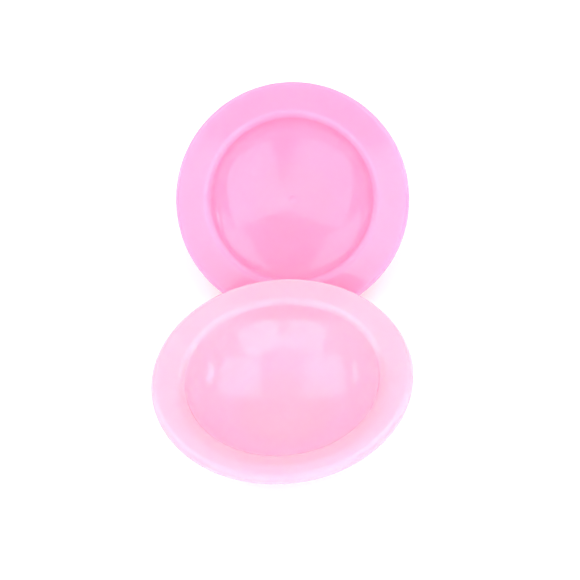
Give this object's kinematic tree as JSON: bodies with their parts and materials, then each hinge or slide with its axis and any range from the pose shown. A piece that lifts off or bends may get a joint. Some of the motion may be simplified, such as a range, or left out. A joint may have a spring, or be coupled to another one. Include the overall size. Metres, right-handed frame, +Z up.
{
  "type": "dappen dish",
  "caption": "Round-bowled dappen dish with a broad flange and a ring foot, and a loose knobbed lid whose coned flange seats in the dish's, lying tipped back on its knob behind it.",
  "frame": {"origin": "centre of the dish's foot, on the table", "axes": "+Z up, along the dish's axis; +Y from the dish to the lid that lies behind it; +X to the right"},
  "size_m": [0.06, 0.1075, 0.0434],
  "materials": {
    "dish_silicone": "translucent pale pink, glossy",
    "lid_silicone": "translucent orchid pink, glossy"
  },
  "bodies": {
    "dish": {"dish": "dish_silicone"},
    "lid": {"lid": "lid_silicone"}
  },
  "joints": [
    {"name": "lid_lift", "type": "slide", "parent": "dish", "child": "lid", "axis": [0, 0, 1], "range_m": [0, 0.06]}
  ]
}
